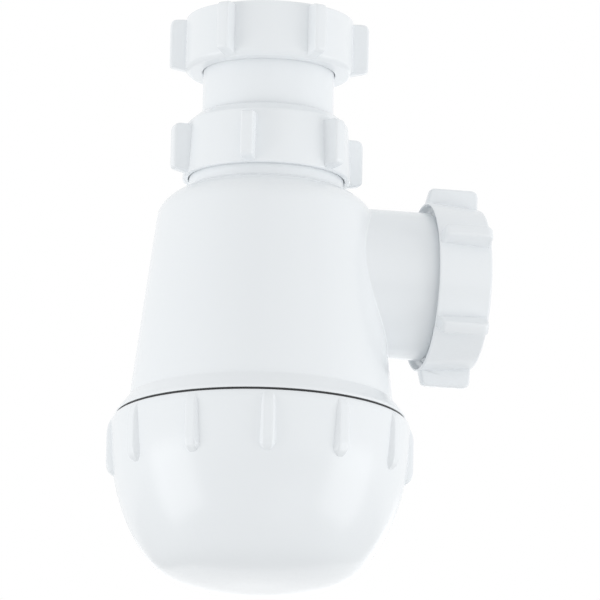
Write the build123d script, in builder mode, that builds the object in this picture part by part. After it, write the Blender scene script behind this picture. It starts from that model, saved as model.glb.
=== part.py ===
"""Bottle trap for a kitchen sink: twelve pieces, in millimetres.

The origin is the centre of the small flat under the cup. +Z is up along the inlet, +X is along the outlet.
Heights are stacked from the cup upwards, and radii outwards from the tube, the pipe and the cup's rim.
"""
import os
from math import cos, radians, sin

from build123d import *

os.makedirs("parts", exist_ok=True)

# clearances
SLIDE_GAP = 0.3
SEAL_GAP = 0.05
FACE_GAP = 0.05
CUP_THREAD_GAP = 1.3
SEAT_GAP = 0.1
EDGE = 0.3
SOFT_EDGE = 0.6

# cup and its grip ribs
CUP_H = 53.5
CUP_RIM_R = 46.8
CUP_WALL = 2.6
CUP_BASE_R = 8.0
CUP_FLOOR_T = 2.5
CUP_UNDER_SKIRT = 2.0
CUP_OUTLINE = [
    (0.412, 0.0430),
    (0.595, 0.1075),
    (0.711, 0.2010),
    (0.825, 0.3335),
    (0.907, 0.4815),
    (0.956, 0.6105),
]
CUP_BELT = (0.985, 0.7375)
RIM_INSET = 1.2
RIM_DROP = 2.2
RIM_ROUND = (0.3, 0.64)
CUP_INSIDE = [(0.936, 0.688), (0.843, 0.469), (0.728, 0.274), (0.616, 0.147), (0.443, 0.0626)]
CUP_INSIDE_STEP = 0.5
BORE_RUNOUT = 1.0
RIB_COUNT = 12
RIB_STAND = 1.2
RIB_ROOT = 2.3
RIB_W = 4.1
RIB_L = 18.8
RIB_BELOW_RIM = 0.35
RIB_TOP_INSET = 1.0
RIB_TOP_SLOPE = 4.8
RIB_SHOULDER = [(0.5, 0.23), (0.82, 0.54)]
RIB_FOOT = 3.6
RIB_PHASE = 21.0
RIB_ROUND = 0.7

# black ring under the body's flange
CUP_SEAL_T = 0.55
CUP_SEAL_LAP = 0.2
CUP_SEAL_INSET = 0.1

# telescopic tube
TUBE_R = 20.6
TUBE_WALL = 1.8
TUBE_FLANGE_STEP = 1.6
TUBE_FLANGE_T = 2.6
TUBE_LEAD_IN = 1.2
TUBE_RISE = 24.05
WASHER_T = 3.0
WASHER_LAND = 3.0

# body, from the flange up to the neck's mouth
FLANGE_INSET = 1.4
FLANGE_EDGE_H = 0.5
FLARE_H = 5.3
FLARE = [(0.190, 0.226), (0.595, 0.623)]
SKIRT_WALL = 2.7
SKIRT_L = 12.7
WAIST_STEP = 1.7
BODY_H = 56.5
BODY_WALL = 2.4
SHOULDER_H = 10.5
SHOULDER_STEP = 9.9
SHOULDER = [(0.095, 0.385), (0.305, 0.630), (0.600, 0.840)]
CEILING = [(0.182, 0.324), (0.626, 0.629)]
CEILING_TOP = 0.686
NECK_THREAD_STEP = 1.9
NECK_STEP = 1.8
NECK_PLAIN_H = 4.4
NECK_THREAD_L = 12.6
SEAT_STEP = 1.2
SEAT_DEPTH = 4.5
DIP_WALL = 2.0
DIP_BOTTOM_Z = 28.0
GUIDE_DEPTH = 65.85
DIP_TAPER_TOP = 6.0
DIP_TAPER_H = 4.0

# outlet spigot for a plain pipe
PIPE_R = 20.0
OUTLET_DROP = 16.25
OUTLET_THREAD_STEP = 2.2
SPIGOT_STEP = 0.8
SPIGOT_PLAIN_L = 10.2
OUTLET_THREAD_L = 10.1
PIPE_STOP_STEP = 1.7
PIPE_SEAT_STEP = 1.5
PIPE_SEAT_L = 4.0

# screw nuts
NUT_THREAD_GAP = 1.6
NUT_CREST_GAP = 0.1
NUT_RECESS = 1.6
NUT_RUNOUT = 1.2
NUT_MOUTH_GAP = 0.35
NUT_MOUTH_DEPTH = 2.2
NUT_OVERLAP = 0.8
LUG_COUNT = 6
LUG_H = 7.2
LUG_W = 4.0
LUG_SLANT = 1.1
LUG_ROOT = 0.6
LUG_CORNER = 1.8
LUG_CORNER_BEND = 0.53
LUG_ROUND = 0.9
INLET_NUT_H = 17.5
INLET_NUT_FLOOR_T = 2.8
INLET_NUT_WALL = 2.4
INLET_NUT_DRAFT = 0.15
INLET_NUT_FOOT = 1.3
INLET_NUT_HOLE_GAP = 0.4
INLET_THREAD_STEP = 1.9
INLET_NUT_LUG_PHASE = -10.5
NECK_NUT_LOW_WALL = 2.3
NECK_NUT_HIGH_WALL = 1.3
NECK_NUT_SHOULDER_H = 0.65
NECK_NUT_LID_T = 3.45
NECK_NUT_LIP_W = 1.1
NECK_NUT_HOLE_GAP = 0.5
NECK_NUT_LUG_DROP = 1.5
NECK_NUT_LUG_PHASE = 6.0
OUTLET_NUT_REAR_WALL = 2.6
OUTLET_NUT_FRONT_WALL = 1.2
OUTLET_NUT_LID_T = 2.95
OUTLET_NUT_HOLE_GAP = 1.0
OUTLET_NUT_MOUTH_STEP = 3.0
OUTLET_NUT_LUG_PHASE = 23.5

# rubber cones and slip rings of the two compression joints
CONE_HEAD_T = 1.8
CONE_HEAD_INSET = 0.1
CONE_NOSE_L = 2.6
NECK_NOSE_STEP = 0.35
PIPE_NOSE_STEP = 0.5
RING_T = 1.4
RING_INSET = 0.2

# radii that follow
cup_bore_r = CUP_RIM_R - CUP_WALL
rib_r = CUP_RIM_R + RIB_STAND
skirt_r = cup_bore_r - CUP_THREAD_GAP
skirt_bore_r = skirt_r - SKIRT_WALL
flange_r = CUP_RIM_R - FLANGE_INSET
body_low_r = skirt_r - WAIST_STEP
tube_bore_r = TUBE_R - TUBE_WALL
tube_flange_r = TUBE_R + TUBE_FLANGE_STEP
guide_r = TUBE_R + SLIDE_GAP
dip_outer_r = guide_r + DIP_WALL
dip_low_r = tube_bore_r + DIP_WALL
seat_r = TUBE_R + SEAT_STEP
neck_thread_r = TUBE_R + NECK_THREAD_STEP
neck_r = neck_thread_r + NECK_STEP
body_top_r = neck_r + SHOULDER_STEP
socket_r = PIPE_R + SLIDE_GAP
pipe_stop_r = socket_r - PIPE_STOP_STEP
pipe_seat_r = socket_r + PIPE_SEAT_STEP
outlet_thread_r = socket_r + OUTLET_THREAD_STEP
spigot_r = outlet_thread_r + SPIGOT_STEP
inlet_root_r = tube_flange_r + INLET_THREAD_STEP
inlet_crest_r = inlet_root_r - NUT_THREAD_GAP + NUT_CREST_GAP
neck_root_r = neck_thread_r + NUT_THREAD_GAP
neck_crest_r = neck_thread_r + NUT_CREST_GAP
outlet_root_r = outlet_thread_r + NUT_THREAD_GAP
outlet_crest_r = outlet_thread_r + NUT_CREST_GAP
inlet_nut_r = inlet_root_r + INLET_NUT_WALL
inlet_hole_r = TUBE_R + INLET_NUT_HOLE_GAP
neck_nut_low_r = neck_root_r + NECK_NUT_LOW_WALL
neck_nut_high_r = neck_root_r + NECK_NUT_HIGH_WALL
neck_hole_r = TUBE_R + NECK_NUT_HOLE_GAP
neck_mouth_r = neck_r + NUT_MOUTH_GAP
outlet_rear_r = outlet_root_r + OUTLET_NUT_REAR_WALL
outlet_front_r = outlet_root_r + OUTLET_NUT_FRONT_WALL
outlet_hole_r = PIPE_R + OUTLET_NUT_HOLE_GAP
outlet_mouth_r = outlet_thread_r + OUTLET_NUT_MOUTH_STEP

# heights that follow, from the cup up
flange_bottom_z = CUP_H + CUP_SEAL_T + 2 * FACE_GAP
flange_top_z = flange_bottom_z + FLANGE_EDGE_H
skirt_bottom_z = flange_bottom_z - SKIRT_L
cup_bore_z = skirt_bottom_z - CUP_UNDER_SKIRT
rib_top_z = CUP_H - RIB_BELOW_RIM
rib_low_z = rib_top_z - RIB_L
body_low_z = flange_top_z + FLARE_H
body_top_z = body_low_z + BODY_H
neck_root_z = body_top_z + SHOULDER_H
neck_thread_z = neck_root_z + NECK_PLAIN_H
neck_top_z = neck_thread_z + NECK_THREAD_L
ledge_z = neck_top_z - GUIDE_DEPTH
tube_bottom_z = ledge_z + FACE_GAP
outlet_z = body_top_z - OUTLET_DROP
cone_z = neck_top_z + FACE_GAP
ring_z = cone_z + CONE_HEAD_T + FACE_GAP
neck_floor_z = ring_z + RING_T + FACE_GAP
neck_nut_bottom_z = neck_thread_z - NUT_OVERLAP
neck_nut_top_z = neck_floor_z + NECK_NUT_LID_T
neck_nut_shoulder_z = neck_floor_z + NECK_NUT_SHOULDER_H
neck_lug_top_z = neck_nut_shoulder_z - NECK_NUT_LUG_DROP
flange_z = neck_top_z + TUBE_RISE
washer_z = flange_z + TUBE_FLANGE_T + FACE_GAP
washer_top_z = washer_z + WASHER_T
inlet_floor_z = flange_z - FACE_GAP
inlet_nut_bottom_z = inlet_floor_z - INLET_NUT_FLOOR_T
inlet_nut_top_z = inlet_nut_bottom_z + INLET_NUT_H

# distances along the outlet that follow
pipe_stop_x = body_low_r
spigot_plain_x = body_low_r + SPIGOT_PLAIN_L
spigot_end_x = spigot_plain_x + OUTLET_THREAD_L
pipe_seat_x = spigot_end_x - PIPE_SEAT_L
cone_x = spigot_end_x + FACE_GAP
ring_x = cone_x + CONE_HEAD_T + FACE_GAP
outlet_floor_x = ring_x + RING_T + FACE_GAP
outlet_rear_x = spigot_plain_x - NUT_OVERLAP
outlet_front_x = outlet_floor_x + OUTLET_NUT_LID_T


def radial_plane(angle: float) -> Plane:
    """The upright plane through the inlet's axis at an angle from +X: x is radius, y is height."""
    a = radians(angle)
    return Plane(origin=(0, 0, 0), x_dir=(cos(a), sin(a), 0), z_dir=(sin(a), -cos(a), 0))


def outlet_plane(angle: float) -> Plane:
    """The plane through the outlet's axis at an angle from -Y towards +Z: x is radius, y is along +X."""
    a = radians(angle)
    return Plane(origin=(0, 0, outlet_z), x_dir=(0, -cos(a), sin(a)), z_dir=(0, sin(a), cos(a)))


def between(start: tuple, end: tuple, shares: list) -> list:
    """Points at given shares of the way from one point to another, in radius and in height."""
    return [(start[0] + (end[0] - start[0]) * r, start[1] + (end[1] - start[1]) * z) for r, z in shares]


def lug_end(tip: float, low: float, high: float) -> list:
    """A lug's outer end: slanted at its low end, upright at its tip, round at its high corner."""
    return [
        (tip, low + LUG_SLANT),
        (tip, high - LUG_CORNER),
        (tip - LUG_CORNER_BEND, high - LUG_CORNER_BEND),
        (tip - LUG_CORNER, high),
    ]


def round_inlet(reach: float):
    """A test for upright edges that lie further out from the inlet's axis than a reach."""
    return lambda edge: edge.center().X ** 2 + edge.center().Y ** 2 > reach**2


def round_outlet(reach: float):
    """A test for edges that lie further out from the outlet's axis than a reach."""
    return lambda edge: edge.center().Y ** 2 + (edge.center().Z - outlet_z) ** 2 > reach**2


SECTION = Plane.XZ
OUTLET_SECTION = outlet_plane(90)
OUTLET_AXIS = Axis((0, 0, outlet_z), (1, 0, 0))
LUG_STEP = 360 / LUG_COUNT
INLET_LUG_PLANES = [radial_plane(INLET_NUT_LUG_PHASE + LUG_STEP * k) for k in range(LUG_COUNT)]
NECK_LUG_PLANES = [radial_plane(NECK_NUT_LUG_PHASE + LUG_STEP * k) for k in range(LUG_COUNT)]
OUTLET_LUG_PLANES = [outlet_plane(OUTLET_NUT_LUG_PHASE + LUG_STEP * k) for k in range(LUG_COUNT)]
RIB_PLANES = [radial_plane(RIB_PHASE + 360 / RIB_COUNT * k) for k in range(RIB_COUNT)]

# inlet nut: open above, floor below with the tube's hole
with BuildPart() as inlet_nut:
    with BuildSketch(SECTION):
        with BuildLine():
            Polyline(
                (inlet_hole_r, inlet_nut_bottom_z + EDGE),
                (inlet_hole_r + EDGE, inlet_nut_bottom_z),
                (inlet_nut_r - INLET_NUT_FOOT, inlet_nut_bottom_z),
                (inlet_nut_r, inlet_nut_bottom_z + INLET_NUT_FOOT),
                (inlet_nut_r - INLET_NUT_DRAFT, inlet_nut_top_z - EDGE),
                (inlet_nut_r - INLET_NUT_DRAFT - EDGE, inlet_nut_top_z),
                (inlet_root_r + SOFT_EDGE, inlet_nut_top_z),
                (inlet_root_r, inlet_nut_top_z - SOFT_EDGE),
                (inlet_root_r, washer_top_z + NUT_RUNOUT / 3),
                (inlet_crest_r, washer_top_z - NUT_RUNOUT / 2),
                (inlet_crest_r, inlet_floor_z),
                (inlet_hole_r, inlet_floor_z),
                close=True,
            )
        make_face()
    revolve(axis=Axis.Z)
    with BuildSketch(*INLET_LUG_PLANES):
        with BuildLine():
            Polyline(
                (inlet_nut_r - INLET_NUT_FOOT - LUG_ROOT, inlet_nut_bottom_z + EDGE),
                (inlet_nut_r - INLET_NUT_FOOT, inlet_nut_bottom_z + EDGE),
                *lug_end(inlet_root_r + LUG_H, inlet_nut_bottom_z + EDGE, inlet_nut_top_z - SOFT_EDGE),
                (inlet_nut_r - INLET_NUT_FOOT - LUG_ROOT, inlet_nut_top_z - SOFT_EDGE),
                close=True,
            )
        make_face()
    extrude(amount=LUG_W / 2, both=True)
    fillet(
        inlet_nut.edges().filter_by(Axis.Z).filter_by(round_inlet(inlet_root_r + LUG_H - LUG_ROOT)),
        LUG_ROUND,
    )
inlet_nut.part.label = "inlet_nut"
export_step(inlet_nut.part, "parts/inlet_nut.step")

# telescopic tube with the flange that the inlet nut pulls on
with BuildPart() as inlet_tube:
    with BuildSketch(SECTION):
        with BuildLine():
            Polyline(
                (tube_bore_r, tube_bottom_z),
                (TUBE_R - SOFT_EDGE, tube_bottom_z),
                (TUBE_R, tube_bottom_z + TUBE_LEAD_IN),
                (TUBE_R, flange_z),
                (tube_flange_r, flange_z),
                (tube_flange_r, flange_z + TUBE_FLANGE_T),
                (tube_bore_r, flange_z + TUBE_FLANGE_T),
                close=True,
            )
        make_face()
    revolve(axis=Axis.Z)
inlet_tube.part.label = "inlet_tube"
export_step(inlet_tube.part, "parts/inlet_tube.step")

# flat rubber washer on the flange
with BuildPart() as inlet_washer:
    with BuildSketch(Plane.XY.offset(washer_z)):
        Circle(tube_flange_r)
        Circle(tube_flange_r - WASHER_LAND, mode=Mode.SUBTRACT)
    extrude(amount=WASHER_T)
inlet_washer.part.label = "inlet_washer"
export_step(inlet_washer.part, "parts/inlet_washer.step")

# body: neck, shoulder, bottle wall, flange, cup skirt, dip tube and side spigot in one moulding
flare_start, flare_end = (flange_r, flange_top_z), (body_low_r, body_low_z)
shoulder_start, shoulder_end = (body_top_r, body_top_z), (neck_r, neck_root_z)
wall_top = (body_top_r - BODY_WALL, body_top_z)
ceiling_end = (wall_top[0] - SHOULDER_STEP, wall_top[1] + SHOULDER_H)
with BuildPart() as trap_body:
    with BuildSketch(SECTION):
        with BuildLine():
            Polyline(
                (0, skirt_bottom_z),
                (skirt_r - SOFT_EDGE, skirt_bottom_z),
                (skirt_r, skirt_bottom_z + SOFT_EDGE),
                (skirt_r, flange_bottom_z),
                (flange_r, flange_bottom_z),
                flare_start,
            )
            Spline(
                flare_start,
                *between(flare_start, flare_end, FLARE),
                flare_end,
                tangents=[(-0.3, 1), (-0.8, 1)],
            )
            Line(flare_end, shoulder_start)
            Spline(
                shoulder_start,
                *between(shoulder_start, shoulder_end, SHOULDER),
                shoulder_end,
                tangents=[(body_top_r - body_low_r, BODY_H), (-1, 0.3)],
            )
            Polyline(
                shoulder_end,
                (neck_r, neck_thread_z),
                (neck_thread_r, neck_thread_z),
                (neck_thread_r, neck_top_z),
                (0, neck_top_z),
                (0, skirt_bottom_z),
            )
        make_face()
    revolve(axis=Axis.Z)
    with BuildSketch(OUTLET_SECTION):
        with BuildLine():
            Polyline(
                (0, 0),
                (spigot_r, 0),
                (spigot_r, spigot_plain_x),
                (outlet_thread_r, spigot_plain_x),
                (outlet_thread_r, spigot_end_x),
                (0, spigot_end_x),
                close=True,
            )
        make_face()
    revolve(axis=OUTLET_AXIS)
    with BuildSketch(SECTION):
        with BuildLine():
            Polyline(
                (dip_outer_r, skirt_bottom_z),
                (skirt_bore_r, skirt_bottom_z),
                (skirt_bore_r, flange_top_z + BODY_WALL),
                (body_low_r - BODY_WALL, body_low_z + BODY_WALL / 2),
                wall_top,
                *between(wall_top, ceiling_end, CEILING),
                (dip_outer_r, body_top_z + CEILING_TOP * SHOULDER_H),
                close=True,
            )
        make_face()
    revolve(axis=Axis.Z, mode=Mode.SUBTRACT)
    with BuildSketch(SECTION):
        with BuildLine():
            Polyline(
                (0, skirt_bottom_z),
                (tube_bore_r, skirt_bottom_z),
                (tube_bore_r, ledge_z),
                (guide_r, ledge_z),
                (guide_r, neck_top_z - SEAT_DEPTH),
                (seat_r, neck_top_z),
                (0, neck_top_z),
                close=True,
            )
        make_face()
    revolve(axis=Axis.Z, mode=Mode.SUBTRACT)
    with BuildSketch(SECTION):
        with BuildLine():
            Polyline(
                (dip_low_r, skirt_bottom_z - DIP_WALL),
                (dip_outer_r + DIP_WALL, skirt_bottom_z - DIP_WALL),
                (dip_outer_r + DIP_WALL, ledge_z - DIP_TAPER_TOP),
                (dip_outer_r, ledge_z - DIP_TAPER_TOP),
                (dip_low_r, ledge_z - DIP_TAPER_TOP - DIP_TAPER_H),
                close=True,
            )
        make_face()
    revolve(axis=Axis.Z, mode=Mode.SUBTRACT)
    with BuildSketch(Plane.XY.offset(DIP_BOTTOM_Z)):
        Circle(dip_low_r)
        Circle(tube_bore_r, mode=Mode.SUBTRACT)
    extrude(amount=skirt_bottom_z - DIP_BOTTOM_Z)
    with BuildSketch(OUTLET_SECTION):
        with BuildLine():
            Polyline(
                (0, dip_outer_r + DIP_WALL),
                (pipe_stop_r, dip_outer_r + DIP_WALL),
                (pipe_stop_r, pipe_stop_x),
                (socket_r, pipe_stop_x),
                (socket_r, pipe_seat_x),
                (pipe_seat_r, spigot_end_x),
                (0, spigot_end_x),
                close=True,
            )
        make_face()
    revolve(axis=OUTLET_AXIS, mode=Mode.SUBTRACT)
trap_body.part.label = "trap_body"
export_step(trap_body.part, "parts/trap_body.step")

# rubber cone ring in the neck's mouth, round the tube
with BuildPart() as neck_seal:
    with BuildSketch(SECTION):
        with BuildLine():
            Polyline(
                (TUBE_R + SEAL_GAP, cone_z - CONE_NOSE_L),
                (TUBE_R + NECK_NOSE_STEP, cone_z - CONE_NOSE_L),
                (seat_r - SEAT_GAP, cone_z),
                (neck_thread_r - CONE_HEAD_INSET, cone_z),
                (neck_thread_r - CONE_HEAD_INSET, cone_z + CONE_HEAD_T),
                (TUBE_R + SEAL_GAP, cone_z + CONE_HEAD_T),
                close=True,
            )
        make_face()
    revolve(axis=Axis.Z)
neck_seal.part.label = "neck_seal"
export_step(neck_seal.part, "parts/neck_seal.step")

# slip ring over the rubber, held in the nut
with BuildPart() as neck_ring:
    with BuildSketch(Plane.XY.offset(ring_z)):
        Circle(neck_thread_r - RING_INSET)
        Circle(guide_r, mode=Mode.SUBTRACT)
    extrude(amount=RING_T)
neck_ring.part.label = "neck_ring"
export_step(neck_ring.part, "parts/neck_ring.step")

# neck nut: open below, sloped top
with BuildPart() as neck_nut:
    with BuildSketch(SECTION):
        with BuildLine():
            Polyline(
                (neck_mouth_r, neck_nut_bottom_z),
                (neck_nut_low_r - EDGE, neck_nut_bottom_z),
                (neck_nut_low_r, neck_nut_bottom_z + EDGE),
                (neck_nut_high_r, neck_nut_shoulder_z),
                (neck_hole_r + NECK_NUT_LIP_W, neck_nut_top_z),
                (neck_hole_r, neck_nut_top_z),
                (neck_hole_r, neck_floor_z),
                (neck_crest_r, neck_floor_z),
                (neck_crest_r, neck_floor_z - NUT_RECESS),
                (neck_root_r, neck_floor_z - NUT_RECESS - NUT_RUNOUT),
                (neck_root_r, neck_nut_bottom_z + NUT_MOUTH_DEPTH + SOFT_EDGE),
                (neck_mouth_r, neck_nut_bottom_z + NUT_MOUTH_DEPTH),
                close=True,
            )
        make_face()
    revolve(axis=Axis.Z)
    with BuildSketch(*NECK_LUG_PLANES):
        with BuildLine():
            Polyline(
                (neck_nut_low_r - LUG_ROOT, neck_nut_bottom_z + EDGE),
                (neck_nut_low_r, neck_nut_bottom_z + EDGE),
                *lug_end(neck_root_r + LUG_H, neck_nut_bottom_z + EDGE, neck_lug_top_z),
                (neck_nut_high_r - LUG_ROOT, neck_lug_top_z),
                close=True,
            )
        make_face()
    extrude(amount=LUG_W / 2, both=True)
    fillet(
        neck_nut.edges().filter_by(Axis.Z).filter_by(round_inlet(neck_root_r + LUG_H - LUG_ROOT)),
        LUG_ROUND,
    )
neck_nut.part.label = "neck_nut"
export_step(neck_nut.part, "parts/neck_nut.step")

# rubber cone ring in the spigot's mouth
with BuildPart() as outlet_seal:
    with BuildSketch(OUTLET_SECTION):
        with BuildLine():
            Polyline(
                (socket_r, cone_x - CONE_NOSE_L),
                (socket_r + PIPE_NOSE_STEP, cone_x - CONE_NOSE_L),
                (pipe_seat_r - SEAT_GAP, cone_x),
                (outlet_thread_r - CONE_HEAD_INSET, cone_x),
                (outlet_thread_r - CONE_HEAD_INSET, cone_x + CONE_HEAD_T),
                (socket_r, cone_x + CONE_HEAD_T),
                close=True,
            )
        make_face()
    revolve(axis=OUTLET_AXIS)
outlet_seal.part.label = "outlet_seal"
export_step(outlet_seal.part, "parts/outlet_seal.step")

# slip ring of the outlet
with BuildPart() as outlet_ring:
    with BuildSketch(OUTLET_SECTION):
        with BuildLine():
            Polyline(
                (socket_r + SLIDE_GAP, ring_x),
                (outlet_thread_r - RING_INSET, ring_x),
                (outlet_thread_r - RING_INSET, ring_x + RING_T),
                (socket_r + SLIDE_GAP, ring_x + RING_T),
                close=True,
            )
        make_face()
    revolve(axis=OUTLET_AXIS)
outlet_ring.part.label = "outlet_ring"
export_step(outlet_ring.part, "parts/outlet_ring.step")

# outlet nut: open towards the body, flat front with the pipe's hole
with BuildPart() as outlet_nut:
    with BuildSketch(OUTLET_SECTION):
        with BuildLine():
            Polyline(
                (outlet_mouth_r, outlet_rear_x),
                (outlet_rear_r - EDGE, outlet_rear_x),
                (outlet_rear_r, outlet_rear_x + EDGE),
                (outlet_front_r, outlet_front_x - SOFT_EDGE),
                (outlet_front_r - SOFT_EDGE, outlet_front_x),
                (outlet_hole_r, outlet_front_x),
                (outlet_hole_r, outlet_floor_x),
                (outlet_crest_r, outlet_floor_x),
                (outlet_crest_r, outlet_floor_x - NUT_RECESS),
                (outlet_root_r, outlet_floor_x - NUT_RECESS - NUT_RUNOUT),
                (outlet_root_r, outlet_rear_x + NUT_MOUTH_DEPTH + SOFT_EDGE),
                (outlet_mouth_r, outlet_rear_x + NUT_MOUTH_DEPTH),
                close=True,
            )
        make_face()
    revolve(axis=OUTLET_AXIS)
    with BuildSketch(*OUTLET_LUG_PLANES):
        with BuildLine():
            Polyline(
                (outlet_rear_r - LUG_ROOT, outlet_rear_x + EDGE),
                (outlet_rear_r, outlet_rear_x + EDGE),
                *lug_end(outlet_root_r + LUG_H, outlet_rear_x + EDGE, outlet_front_x - SOFT_EDGE),
                (outlet_front_r - LUG_ROOT, outlet_front_x - SOFT_EDGE),
                close=True,
            )
        make_face()
    extrude(amount=LUG_W / 2, both=True)
    fillet(
        outlet_nut.edges().filter_by(Axis.X).filter_by(round_outlet(outlet_root_r + LUG_H - LUG_ROOT)),
        LUG_ROUND,
    )
outlet_nut.part.label = "outlet_nut"
export_step(outlet_nut.part, "parts/outlet_nut.step")

# black ring between the cup's rim and the body's flange
with BuildPart() as cup_seal:
    with BuildSketch(Plane.XY.offset(CUP_H + FACE_GAP)):
        Circle(flange_r - CUP_SEAL_INSET)
        Circle(cup_bore_r - CUP_SEAL_LAP, mode=Mode.SUBTRACT)
    extrude(amount=CUP_SEAL_T)
cup_seal.part.label = "cup_seal"
export_step(cup_seal.part, "parts/cup_seal.step")

# cup: bowl with a domed base, threaded rim and grip ribs
base_edge, rim = (CUP_BASE_R, 0), (CUP_RIM_R, CUP_H)
rim_start, rim_end = (CUP_RIM_R, CUP_H - RIM_DROP), (CUP_RIM_R - RIM_INSET, CUP_H)
rib_start, rib_full = (CUP_RIM_R - RIB_TOP_INSET, rib_top_z), (rib_r, rib_top_z - RIB_TOP_SLOPE)
bowl_points = between(base_edge, rim, CUP_OUTLINE)
floor_edge = (CUP_BASE_R - CUP_INSIDE_STEP, CUP_FLOOR_T)
bore_edge = (cup_bore_r - BORE_RUNOUT, cup_bore_z - BORE_RUNOUT)
with BuildPart() as cup:
    with BuildSketch(SECTION):
        with BuildLine():
            Line((0, 0), base_edge)
            Spline(base_edge, *bowl_points, tangents=[(1, 0.02), (0.2, 1)])
            Polyline(
                bowl_points[-1],
                *between(base_edge, rim, [CUP_BELT]),
                rim_start,
                *between(rim_start, rim_end, [RIM_ROUND]),
                rim_end,
                (cup_bore_r, CUP_H),
                (cup_bore_r, cup_bore_z),
                bore_edge,
            )
            Spline(bore_edge, *between(floor_edge, bore_edge, CUP_INSIDE), floor_edge,
                   tangents=[(-0.12, -1), (-1, -0.02)])
            Polyline(floor_edge, (0, CUP_FLOOR_T), (0, 0))
        make_face()
    revolve(axis=Axis.Z)
    with BuildSketch(*RIB_PLANES):
        with BuildLine():
            Polyline(
                (CUP_RIM_R - RIB_ROOT, rib_full[1]),
                rib_start,
                *between(rib_start, rib_full, RIB_SHOULDER),
                rib_full,
                (rib_r, rib_low_z + RIB_FOOT),
                (rib_r - SOFT_EDGE, rib_low_z + RIB_FOOT / 2.5),
                (rib_r - RIB_STAND - SOFT_EDGE, rib_low_z + EDGE),
                (CUP_RIM_R - RIB_ROOT, rib_low_z - SOFT_EDGE),
                (CUP_RIM_R - RIB_ROOT, rib_low_z + RIB_FOOT),
                close=True,
            )
        make_face()
    extrude(amount=RIB_W / 2, both=True)
    fillet(cup.edges().filter_by(Axis.Z).filter_by(round_inlet(rib_r - EDGE)), RIB_ROUND)
cup.part.label = "cup"
export_step(cup.part, "parts/cup.step")
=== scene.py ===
"""Looks of a kitchen sink bottle trap: white moulded plastic, black rubber, threads and a pale studio."""
import logging
import math
from dataclasses import dataclass
from enum import Enum

import bmesh
import bpy
import numpy as np
from mathutils import Matrix, Vector


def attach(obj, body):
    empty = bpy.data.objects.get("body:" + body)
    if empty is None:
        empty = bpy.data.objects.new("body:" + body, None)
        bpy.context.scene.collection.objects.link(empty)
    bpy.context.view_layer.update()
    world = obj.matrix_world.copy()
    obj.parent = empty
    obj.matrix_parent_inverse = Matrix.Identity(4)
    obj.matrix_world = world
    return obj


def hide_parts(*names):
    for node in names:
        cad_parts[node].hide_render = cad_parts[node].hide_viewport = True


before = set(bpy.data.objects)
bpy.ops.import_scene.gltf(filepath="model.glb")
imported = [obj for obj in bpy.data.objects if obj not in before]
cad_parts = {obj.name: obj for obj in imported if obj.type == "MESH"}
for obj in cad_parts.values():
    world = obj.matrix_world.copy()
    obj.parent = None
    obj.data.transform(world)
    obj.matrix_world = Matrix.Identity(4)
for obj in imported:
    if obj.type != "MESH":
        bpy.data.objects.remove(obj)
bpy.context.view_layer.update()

MM = 0.001
TURN = 2 * math.pi
OUTLET_Z = 100.2
NUT_PITCH = 2.309
CUP_PITCH = 4.0
TURNED_SIDES = 192
RING_SIDES = 160
SMOOTH_LIMIT = math.radians(32)
MERGE_REACH = 2e-6
SLIVER_REACH = 1e-7
LEG_SHARE = 0.45
FOOT_TIP_SHARE = 0.02
BUMP_DEPTH = 0.0002
Corners = list[tuple[float, float]]
log = logging.getLogger("sink_trap")


class Line(Enum):
    """The two axes that round pieces are turned about."""

    INLET = "inlet"
    OUTLET = "outlet"


class Side(Enum):
    """Whether a thread stands out from a wall or into a bore."""

    OUTSIDE = 1
    INSIDE = -1


def place(line: Line, radius: np.ndarray, angle: np.ndarray, along: np.ndarray) -> np.ndarray:
    """Put cylinder coordinates into the shared frame.

    About the inlet, the angle runs from +X to +Y and along is height. About the outlet, the angle runs from
    -Y to +Z and along is the distance on +X.

    Args:
        line: the axis that the coordinates belong to.
        radius: distances from the axis, in mm.
        angle: angles in radians.
        along: distances along the axis, in mm.

    Returns:
        Points in mm with the shape of the inputs and a last axis of three.
    """
    radius, angle, along = np.broadcast_arrays(radius, angle, along)
    across, up = radius * np.cos(angle), radius * np.sin(angle)
    if line is Line.INLET:
        return np.stack([across, up, along], axis=-1)
    return np.stack([along, -across, OUTLET_Z + up], axis=-1)


def rounded(points: Corners, radius: float, closed: bool = False, steps: int = 5) -> np.ndarray:
    """Round a polyline's corners, each with a parabola from one leg to the next.

    A corner C with legs a and b becomes (1-t)^2 A + 2t(1-t) C + t^2 B, where A and B lie on the legs at the
    radius, or at 0.45 of a shorter leg.

    Args:
        points: corners as (radius, along) in mm.
        radius: how far from a corner the rounding starts.
        closed: whether the last corner joins the first.
        steps: points on each rounding.

    Returns:
        The rounded line, with its first point repeated at the end if it is closed.
    """
    corner = np.asarray(points, float)
    before, after = np.roll(corner, 1, axis=0) - corner, np.roll(corner, -1, axis=0) - corner
    first, second = np.linalg.norm(before, axis=1), np.linalg.norm(after, axis=1)
    reach = np.minimum(radius, LEG_SHARE * np.minimum(first, second))
    if not closed:
        reach[[0, -1]] = 0.0
    start = corner + before / first[:, None] * reach[:, None]
    end = corner + after / second[:, None] * reach[:, None]
    t = np.linspace(0, 1, steps)[None, :, None]
    bend = (1 - t) ** 2 * start[:, None] + 2 * t * (1 - t) * corner[:, None] + t**2 * end[:, None]
    line = bend.reshape(-1, 2)
    if not closed:
        return line[steps - 1 : len(line) - steps + 1]
    return np.vstack([line, line[:1]])


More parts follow.
